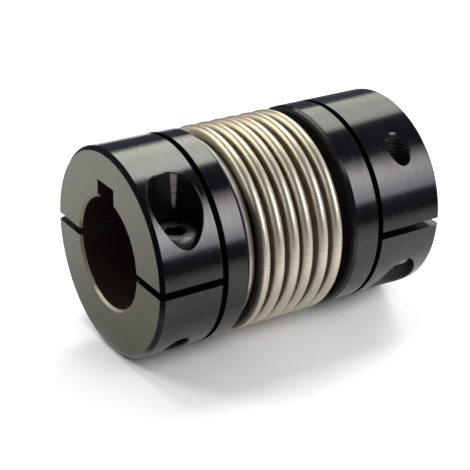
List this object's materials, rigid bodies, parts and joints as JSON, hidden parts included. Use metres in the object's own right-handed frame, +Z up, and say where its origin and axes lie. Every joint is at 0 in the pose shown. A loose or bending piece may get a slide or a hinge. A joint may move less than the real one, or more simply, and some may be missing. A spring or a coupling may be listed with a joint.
{
  "type": "bellows coupling",
  "caption": "Torsionally stiff shaft coupling: corrugated metal bellows between clamping hubs, each with a keyed bore, a clamp slit, a saw cut and a side clamp screw.",
  "frame": {"origin": "on the coupling axis, halfway between the two outer end faces", "axes": "+X along the coupling axis towards the longer hub, +Z up along the clamp screws, with the clamp slits in the XY plane and the screws on the -Y side"},
  "size_m": [0.1026, 0.066, 0.066],
  "materials": {
    "black_anodised": "turned aluminium, black anodised, satin gloss with fine turning marks",
    "stainless_bellows": "thin drawn stainless steel, smooth and slightly warm in colour",
    "screw_steel": "hardened steel, grey, with a knurled head"
  },
  "bodies": {
    "root": {"left_hub": "black_anodised", "right_hub": "black_anodised", "bellows": "stainless_bellows", "left_clamp_screw": "screw_steel", "right_clamp_screw": "screw_steel"}
  },
  "joints": []
}
